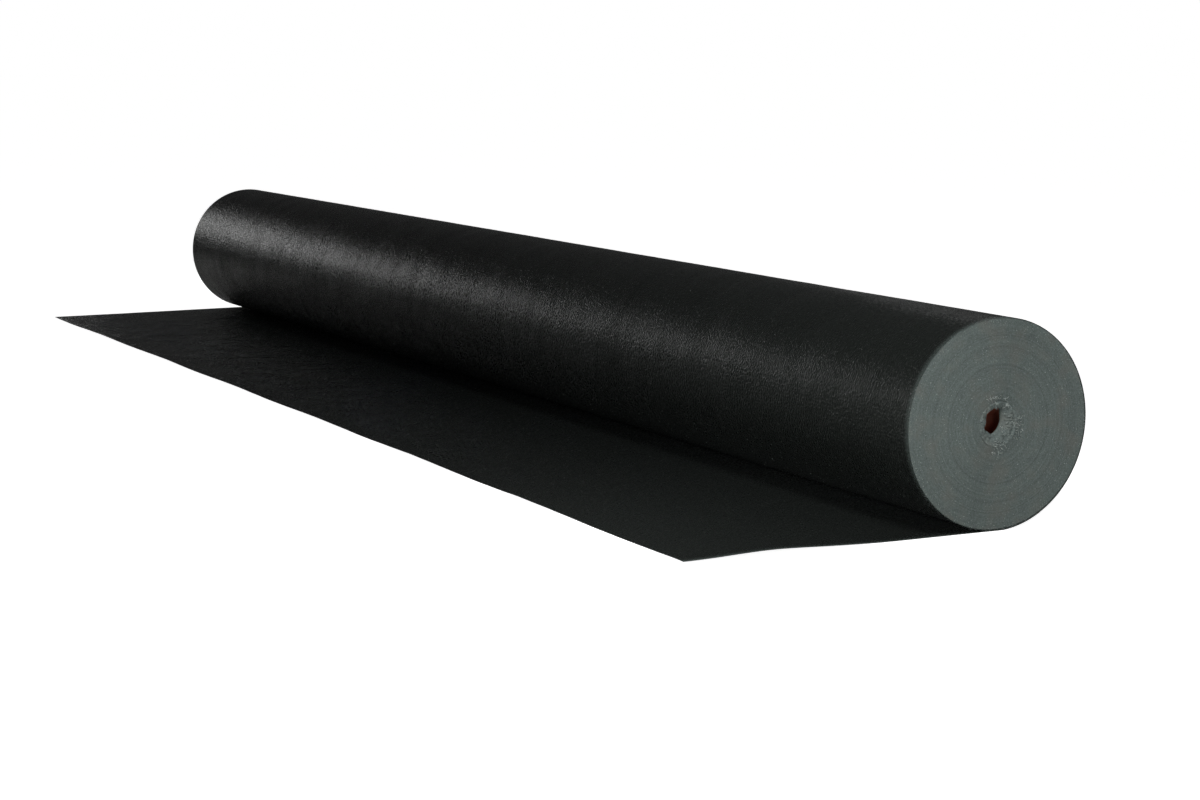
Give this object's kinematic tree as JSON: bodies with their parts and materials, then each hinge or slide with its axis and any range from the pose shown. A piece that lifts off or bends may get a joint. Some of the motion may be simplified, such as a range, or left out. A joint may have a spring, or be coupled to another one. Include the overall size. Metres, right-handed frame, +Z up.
{
  "type": "roll of agricultural fleece",
  "caption": "Wide roll of black spunbond crop fleece on a cardboard core, lying on the ground with its free end laid out in front.",
  "frame": {"origin": "on the ground, below the middle of the roll's axis", "axes": "+X along the roll's axis, +Z up; the laid web reaches towards -Y"},
  "size_m": [3.2, 0.6607, 0.2974],
  "materials": {
    "black_spunbond": "thermally bonded black polypropylene spunbond, satin",
    "wound_edges": "slit edges of wound spunbond, matt grey",
    "tape_film": "packing tape film",
    "core_cardboard": "spirally wound brown paper tube"
  },
  "bodies": {
    "laid_web": {"laid_web": "black_spunbond"},
    "lead_off": {"lead_off": "black_spunbond"},
    "roll": {"outer_turn": "black_spunbond", "wound_fleece": "wound_edges", "inner_turns": "wound_edges", "core_start_tape": "tape_film", "core_tube": "core_cardboard"}
  },
  "joints": [
    {"name": "roll_travel", "type": "slide", "parent": "laid_web", "child": "lead_off", "axis": [0, -1, 0], "range_m": [0, 0.42], "deforming": ["laid_web"]},
    {"name": "roll_turn", "type": "hinge", "parent": "lead_off", "child": "roll", "pos_m": [0, 0, 0.149], "axis": [1, 0, 0], "range_deg": [0, 162]}
  ],
  "couplings": [
    {"joint": "roll_turn", "follows": "roll_travel", "rad_per_m": 6.7114}
  ]
}
